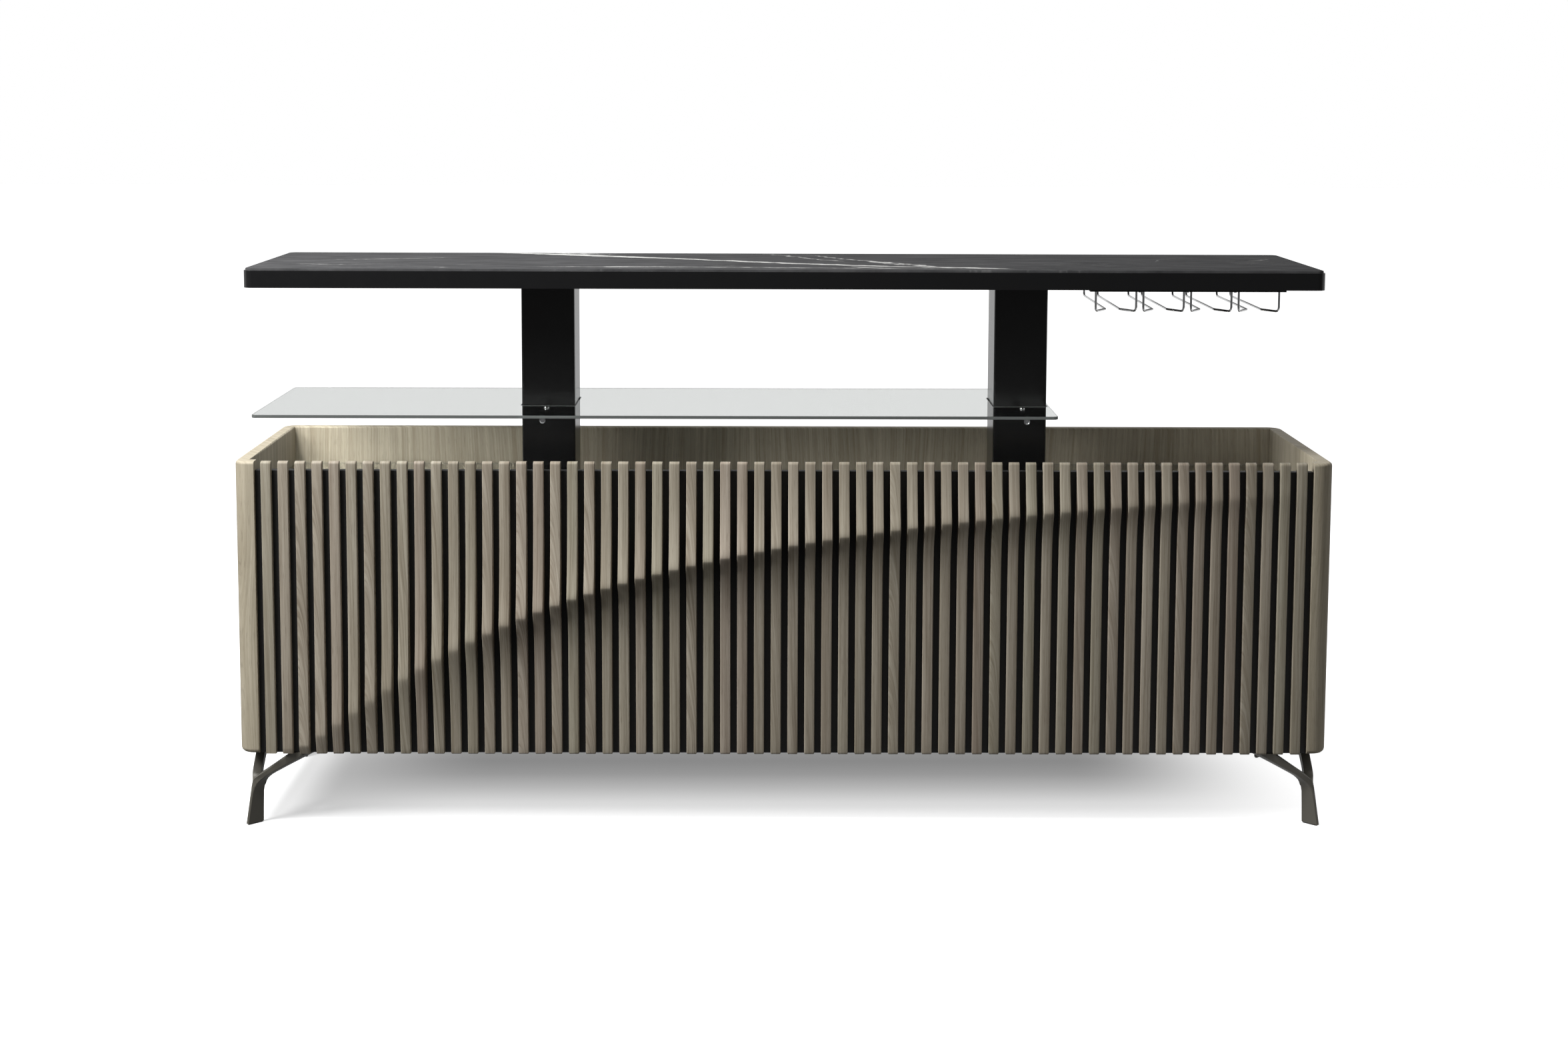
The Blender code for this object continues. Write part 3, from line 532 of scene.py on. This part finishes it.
zinc = zinc_plate()
round_angle = 40
bolt_radius, bolt_height, bolt_inset = 0.0065, 0.008, 0.015
plate_screw_radius, small_screw_radius = 0.0045, 0.003
flat_head = 0.0016
base_edge = 0.0005
collar_nylon = plastic("collar_nylon", paint(214, 211, 202), 0.5)
drive_plastic = plastic("drive_plastic", paint(30, 30, 31), 0.5)
for side in ("left", "right"):
    dressed("mast_base_" + side, "case", plate_black, base_edge)
    dressed("mast_" + side, "case", zinc, fine_edge)
    dressed("mast_guide_" + side, "case", collar_nylon, fine_edge)
    dressed("drive_" + side, "case", drive_plastic, 0.0, round_angle)
    screw_in("mast_base_" + side, "case", bolt_radius, bolt_height, bolt_inset, True)

# Control box: the lift's motor control, screwed under the floor behind the middle, with a socket in its
# rear face for a loose mains lead.
dressed("control_box", "case", drive_plastic)
box_screw_inset = 0.012
inlet_edge = 0.0004
screw_in("control_box", "case", small_screw_radius, flat_head, box_screw_inset, False)
dressed("power_inlet", "case", plastic("inlet_plastic", paint(22, 22, 22), 0.45), inlet_edge)

# Lift columns: black powder coated sleeves that slide over the masts, each with a nylon collar at its foot.
# A push rod from the drive and a head plate let into the top's underside carry the top.
sleeve_black = powder_coat("sleeve_black", 17, 0.22)
plate_screw_inset = 0.010
for side in ("left", "right"):
    dressed("column_sleeve_" + side, "lift", sleeve_black, fine_edge)
    dressed("sleeve_guide_" + side, "lift", collar_nylon, fine_edge)
    dressed("push_rod_" + side, "lift", zinc, 0.0, round_angle)
    dressed("head_plate_" + side, "lift", plate_black, plate_edge)
    screw_in("head_plate_" + side, "lift", plate_screw_radius, flat_head, plate_screw_inset, False)

# Top: a slab of dark marble with pale veins, honed, laid in a tray frame of black lacquered board and
# standing a little above its rim.
stone_low, stone_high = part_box("stone_top")


def lacquer():
    """Black lacquer on board, with the slow waves of a sprayed coat."""
    made, shader, place = finish("lacquer", paint(20, 20, 21), 0.3)
    x, y, z = place.split()
    flow = cloud(x * 60, y * 60, z * 60, 2)
    feed(shader, "Roughness", 0.26 + flow * 0.08)
    return made


def course(x, places):
    """A value that runs smoothly through listed values along x."""
    reach = 1.1
    stops = [((along / reach + 1) / 2, (value / reach + 1) / 2) for along, value in places]
    return (ramp(x / reach * 0.5 + 0.5, *stops) * 2 - 1) * reach


def vein(x, y, places, widths, blur=0.007):
    """A pale line through places on the slab, half as wide as the widths say, and soft at its edges."""
    line = y - course(x, places)
    off = line.node("Math", {"operation": "ABSOLUTE"}, {0: line})
    mask = (course(x, widths) - off) / blur
    return mask.node("Clamp", {}, {0: mask})


def marble():
    """Dark grey marble: a long pale vein falling from back to front, its forks, and broken threads."""
    made, shader, place = finish("black_marble", paint(90, 90, 91), 0.5, Specular_IOR_Level=0.0)
    shader.inputs["Coat Weight"].default_value = 0.06
    shader.inputs["Coat Roughness"].default_value = 0.2
    x, y = place.split()[:2]
    frayed_x = x + (cloud(x * 16, y * 30, 4.1, 3) - 0.5) * 0.05
    frayed_y = y + (cloud(x * 30, y * 70, 0, 4, 0.6) - 0.5) * 0.03
    broken = ramp(cloud(x * 30, y * 45, 3.1, 3), (0.42, 0.1), (0.56, 1))
    knotted = ramp(cloud(x * 60, y * 60, 7.7, 3), (0.44, 0), (0.58, 1))
    main = (
        (-0.7, 0.28), (-0.45, 0.19), (-0.2, 0.075), (0.0, -0.035),
        (0.2, -0.112), (0.4, -0.158), (0.5, -0.19),
    )
    main_half = (
        (-0.66, 0.004), (-0.4, 0.022), (-0.2, 0.012), (0.1, 0.013),
        (0.24, 0.009), (0.38, 0.014), (0.5, -0.01),
    )
    lobe = ((-0.56, 0.27), (-0.45, 0.225), (-0.33, 0.2))
    lobe_half = ((-0.58, -0.01), (-0.5, 0.01), (-0.41, 0.017), (-0.3, -0.01))
    upper = ((-0.06, 0.24), (0.0, 0.18), (0.08, 0.05), (0.14, 0.0))
    upper_half = ((-0.08, -0.01), (-0.02, 0.007), (0.1, 0.008), (0.15, -0.01))
    fork = ((0.0, 0.23), (0.06, 0.18), (0.14, 0.06), (0.2, -0.02), (0.29, -0.115))
    fork_half = ((-0.02, -0.01), (0.08, 0.008), (0.15, 0.01), (0.2, 0.03), (0.27, 0.02), (0.32, -0.01))
    low = ((-0.55, -0.142), (-0.2, -0.142), (0.0, -0.155), (0.22, -0.166), (0.4, -0.17))
    low_half = (
        (-0.6, -0.01), (-0.5, 0.003), (-0.33, 0.01), (-0.2, 0.008),
        (0.1, 0.007), (0.3, 0.005), (0.4, -0.01),
    )
    spur = ((0.1, -0.1), (0.16, -0.15), (0.24, -0.172))
    spur_half = ((0.09, -0.01), (0.13, 0.01), (0.2, 0.008), (0.26, -0.01))
    threads = (
        (
            ((-0.96, 0.006), (-0.8, 0.052), (-0.67, 0.1)),
            ((-0.99, -0.01), (-0.9, 0.006), (-0.7, 0.009), (-0.65, -0.01)),
        ),
        (
            ((-1.02, -0.08), (-0.78, -0.11)),
            ((-1.0, -0.01), (-0.93, 0.01), (-0.86, 0.008), (-0.75, -0.01)),
        ),
        (
            ((-0.67, -0.097), (-0.55, -0.094)),
            ((-0.69, -0.01), (-0.62, 0.007), (-0.53, -0.01)),
        ),
        (
            ((-0.71, -0.156), (-0.62, -0.176)),
            ((-0.72, -0.01), (-0.66, 0.012), (-0.61, -0.01)),
        ),
        (
            ((0.5, 0.2), (0.58, 0.18)),
            ((0.45, -0.01), (0.5, 0.006), (0.6, -0.01)),
        ),
        (
            ((0.73, -0.02), (0.75, 0.07), (0.79, 0.12)),
            ((0.72, -0.01), (0.75, 0.012), (0.8, -0.01)),
        ),
        (
            ((0.94, 0.07), (1.01, 0.134)),
            ((0.92, -0.01), (0.96, 0.014), (1.02, -0.01)),
        ),
    )
    bright = vein(frayed_x, frayed_y, main, main_half) * (broken * 0.25 + 0.75)
    bright = bright + vein(frayed_x, frayed_y, lobe, lobe_half) * (knotted * 0.6 + 0.3)
    bright = bright + vein(frayed_x, frayed_y, upper, upper_half) * (broken * 0.5 + 0.3)
    bright = bright + vein(frayed_x, frayed_y, fork, fork_half) * (knotted * 0.7 + 0.15)
    bright = bright + vein(frayed_x, frayed_y, low, low_half) * (broken * 0.5 + 0.2)
    bright = bright + vein(frayed_x, frayed_y, spur, spur_half) * 0.6
    for places, widths in threads:
        bright = bright + vein(frayed_x, frayed_y, places, widths, 0.012) * (knotted * 0.4 + 0.1)
    mask = bright.node("Clamp", {}, {0: bright})
    hair = cloud(x * 4, y * 17, 1.7, 5, 0.6)
    hair = hair.node("Math", {"operation": "ABSOLUTE"}, {0: hair - 0.5})
    patches = ramp(cloud(x * 2.2, y * 6, 5.3, 2), (0.5, 0), (0.62, 1))
    hair = ramp(hair, (0.0, 1), (0.01, 0)) * patches
    grey = cloud(x * 9, y * 58, 2.2, 5, 0.66)
    ground = mingle(ramp(grey, (0.34, 0), (0.68, 1)), paint(57, 57, 58), paint(82, 82, 83))
    ground = mingle(hair * 0.22, ground, paint(146, 146, 144))
    feed(shader, "Base Color", mingle(mask, ground, paint(208, 208, 205)))
    return made


frame_edge = 0.0008
dressed("top_frame", "lift", lacquer(), frame_edge)
bpy.ops.object.select_all(action="DESELECT")
stone_corner = 0.0147
stone_arris = 0.0011
stone_middle = (stone_low + stone_high) / 2
bpy.ops.mesh.primitive_cube_add(size=1, location=stone_middle, scale=stone_high - stone_low)
stone = bpy.context.object
stone.name = "stone_slab"
bpy.ops.object.transform_apply(location=True, rotation=True, scale=True)
pick(stone, lambda spot: abs(spot.z - stone_middle.z) < 0.001, edges=True)
bpy.ops.mesh.bevel(offset=stone_corner, segments=8)
bpy.ops.object.mode_set(mode="OBJECT")
pick(stone, lambda spot: spot.z > stone_high.z - touch)
bpy.ops.mesh.bevel(offset=stone_arris, segments=2)
bpy.ops.object.mode_set(mode="OBJECT")
bpy.ops.object.shade_smooth_by_angle(angle=math.radians(35))
stone.data.materials.append(marble())
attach(stone, "lift")
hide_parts("stone_top")

# Glass shelves: toughened glass with ground edges. The long one is notched round the columns and held by
# chrome pegs and caps; the two low ones hang in the well on black arms from the columns' sides. The sheets
# are set to cast no shadow, because the renderer would make clear glass opaque to the lamps.


def clear_glass():
    """Clear faces, and ground edges that scatter a little light and look grey against what is behind."""
    made, shader, place = finish("clear_glass", paint(243, 247, 246), 0.0, IOR=1.5)
    shader.inputs["Transmission Weight"].default_value = 1.0
    x, y, z = place.split()
    haze = cloud(x * 30, y * 30, z * 30, 2)
    feed(shader, "Roughness", ramp(haze, (0.4, 0), (0.9, 0.02)))
    facing = place.node("NewGeometry", {}, {}, output=1).split()[2]
    upright = facing.node("Math", {"operation": "ABSOLUTE"}, {0: facing})
    edge = 1 - ramp(upright, (0.3, 0), (0.9, 1))
    feed(shader, "Base Color", mingle(edge, paint(221, 225, 223), paint(150, 157, 155)))
    ground_edge = place.node("BsdfDiffuse", {}, {"Color": paint(128, 132, 130)})
    body = Spot(shader.outputs["BSDF"])
    both = place.node("MixShader", {}, {0: edge * 0.6, 1: body, 2: ground_edge})
    made.node_tree.links.new(both.socket, made.node_tree.nodes["Material Output"].inputs["Surface"])
    return made


def chrome_plate():
    """Bright chrome plating with a faint film on it."""
    made, shader, place = finish("chrome", paint(216, 217, 218), 0.07, Metallic=1.0)
    x, y, z = place.split()
    film = cloud(x * 90, y * 90, z * 90, 2)
    feed(shader, "Roughness", 0.05 + film * 0.07)
    return made


glass = clear_glass()
chrome = chrome_plate()
glass_edge = 0.0008
arm_edge = 0.0006
for name in ("glass_shelf", "well_shelf_left", "well_shelf_right"):
    sheet = dressed(name, "lift", glass, glass_edge)
    sheet.visible_shadow = False
for side in ("left", "right"):
    for end in ("front", "back"):
        dressed("glass_peg_" + side + "_" + end, "lift", chrome, 0.0, round_angle)
        dressed("glass_cap_" + side + "_" + end, "lift", chrome, 0.0, round_angle)
        dressed("shelf_arm_" + side + "_" + end, "lift", plate_black, arm_edge)

# Stemware racks: chromed wire bent into open fronted loops, welded to two strips that are screwed under the
# right end of the top. A glass hangs by its foot between the two rails of a loop.
rack_count = 4
wire_angle = 60
racks = [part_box("stem_rack_%d" % number) for number in range(1, rack_count + 1)]
between = [(racks[index][1].x + racks[index + 1][0].x) / 2 for index in range(rack_count - 1)]
for end in ("front", "back"):
    dressed("rack_strip_" + end, "lift", plate_black, plate_edge)
    screw_in("rack_strip_" + end, "lift", small_screw_radius, flat_head, 0, False, between)
for number in range(1, rack_count + 1):
    dressed("stem_rack_%d" % number, "lift", chrome, 0.0, wire_angle)

# Studio: a white floor that runs on into a white surround, which lights the object weakly; two soft discs
# of light from the upper left, one high and one lower; the photograph's camera, a little above the top.


def ease(spot, start, end):
    """0 up to the start, 1 from the end on, smooth between."""
    values = {0: spot, 1: start, 2: end, 3: 0, 4: 1}
    return spot.node("MapRange", {"interpolation_type": "SMOOTHSTEP"}, values)


world = bpy.data.worlds.new("studio")
bpy.context.scene.world = world
world.use_nodes = True
nodes = world.node_tree.nodes
nodes.clear()
path = nodes.new("ShaderNodeLightPath")
seen = Spot(path.outputs["Is Camera Ray"])
through = Spot(path.outputs["Is Transmission Ray"])
mirrored = Spot(path.outputs["Is Glossy Ray"])
heading = Spot(nodes.new("ShaderNodeTexCoord").outputs["Generated"]).split()
# The surround is white to the camera and through glass, graded in mirrors, and weak as light.
behind = ramp(heading[1] * 0.5 + 0.5, (0.3, 0.06), (0.5, 0.72))
low_band = ease(heading[1], 0.1, 0.9) * (1 - ease(heading[2], 0.15, 0.55))
front_band = ease(0 - heading[1], 0.2, 0.8) * ease(heading[2], 0.08, 0.3)
front_band = front_band * (1 - ease(heading[2], 0.5, 0.75))
ambient = 0.2 + low_band * 1.2 + front_band * 0.3
shown = seen.node("Math", {"operation": "MAXIMUM"}, {0: seen, 1: through})
reflected = mirrored * (1 - shown)
rest = (1 - shown) * (1 - mirrored)
strength = shown + reflected * behind + rest * ambient
sky = strength.node("Background", {}, {"Color": (1, 1, 1, 1), "Strength": strength})
out = nodes.new("ShaderNodeOutputWorld")
world.node_tree.links.new(sky.socket, out.inputs["Surface"])

bpy.ops.object.select_all(action="DESELECT")
floor_size = 60
floor_bounce = (0.04, 0.04, 0.04, 1)
floor_seen = (0.75, 0.75, 0.75, 1)
bpy.ops.mesh.primitive_plane_add(size=floor_size, location=(0, 0, 0))
floor = bpy.context.object
floor.name = "studio_floor"
floor_paint = bpy.data.materials.new("studio_white")
floor_paint.use_nodes = True
tree = floor_paint.node_tree
tree.nodes.clear()
path = tree.nodes.new("ShaderNodeLightPath")
seen = Spot(path.outputs["Is Camera Ray"])
through = Spot(path.outputs["Is Transmission Ray"])
mirrored = Spot(path.outputs["Is Glossy Ray"])
ground_x, ground_y = Spot(tree.nodes.new("ShaderNodeTexCoord").outputs["Object"]).split()[:2]
span = (ground_x + 1) * (ground_x + 1) + (ground_y + 0.8) * (ground_y + 0.8)
distance = span.node("Math", {"operation": "SQRT"}, {0: span})
# What the floor shows of itself: white in the open, and under the sideboard a painted shadow, graded from
# front to back.
open_glow = 0.4 + ease(distance, 0.6, 2.8) * 0.6
across = ground_x.node("Math", {"operation": "ABSOLUTE"}, {0: ground_x})
depth_share = (ground_y + 0.5) / 1.4
# These stops paint the sideboard's shadow into the floor's glow: lightest just behind its front edge,
# darkest towards the back.
painted_shadow_stops = (
    (0.1, 0.5), (0.22, 0.67), (0.3, 0.61), (0.37, 0.4),
    (0.44, 0.24), (0.51, 0.15), (0.62, 0.15), (0.9, 0.6),
)
painted_shadow_glow = ramp(depth_share, *painted_shadow_stops)
painted_shadow_area = (1 - ease(across, 0.6, 1.12)) * (1 - ease(depth_share, 0.62, 0.9)) * ease(depth_share, 0.05, 0.2)
glow_level = open_glow * (1 - painted_shadow_area) + painted_shadow_glow * painted_shadow_area
shown = seen.node("Math", {"operation": "MAXIMUM"}, {0: seen, 1: through})
shown = shown + mirrored * (1 - shown) * ramp((ground_y + 2) / 2, (0.3, 0.1), (0.8, 0.7))
matt = seen.node("BsdfDiffuse", {}, {"Color": mingle(seen, floor_bounce, floor_seen)})
glow = seen.node("Emission", {}, {"Color": (1, 1, 1, 1), "Strength": shown * glow_level})
both = seen.node("AddShader", {}, {0: matt, 1: glow})
out = tree.nodes.new("ShaderNodeOutputMaterial")
tree.links.new(both.socket, out.inputs["Surface"])
floor.data.materials.append(floor_paint)

lamp_size = 0.95
side_power, high_power = 56, 118
lamp_aim = Vector((-0.5, -0.2, 0.5))


def disc_light(name, place, energy):
    """A soft round lamp that looks at the sideboard."""
    bpy.ops.object.light_add(type="AREA", location=place)
    lamp = bpy.context.object
    lamp.name = name
    lamp.data.shape = "DISK"
    lamp.data.size = lamp_size
    lamp.data.energy = energy
    lamp.rotation_euler = (lamp_aim - lamp.location).to_track_quat("-Z", "Y").to_euler()
    lamp.visible_camera = False


disc_light("side_light", (-2.6, -1.7, 2.4), side_power)
disc_light("high_light", (-1.7, -1.05, 3.3), high_power)

bpy.ops.object.camera_add()
camera = bpy.context.object
camera.name = "photo_camera"
camera.location = (-0.0386, -4.6837, 1.4173)
camera.data.sensor_width = 36
camera.data.lens = 54.32
camera.data.shift_y = -0.11
tilt, roll, turn = 0.1097, -0.0034, -0.0077
camera.rotation_euler = (math.pi / 2 - tilt, roll, turn)
bpy.context.scene.camera = camera
bpy.context.scene.view_settings.view_transform = "Standard"

bpy.context.view_layer.update()
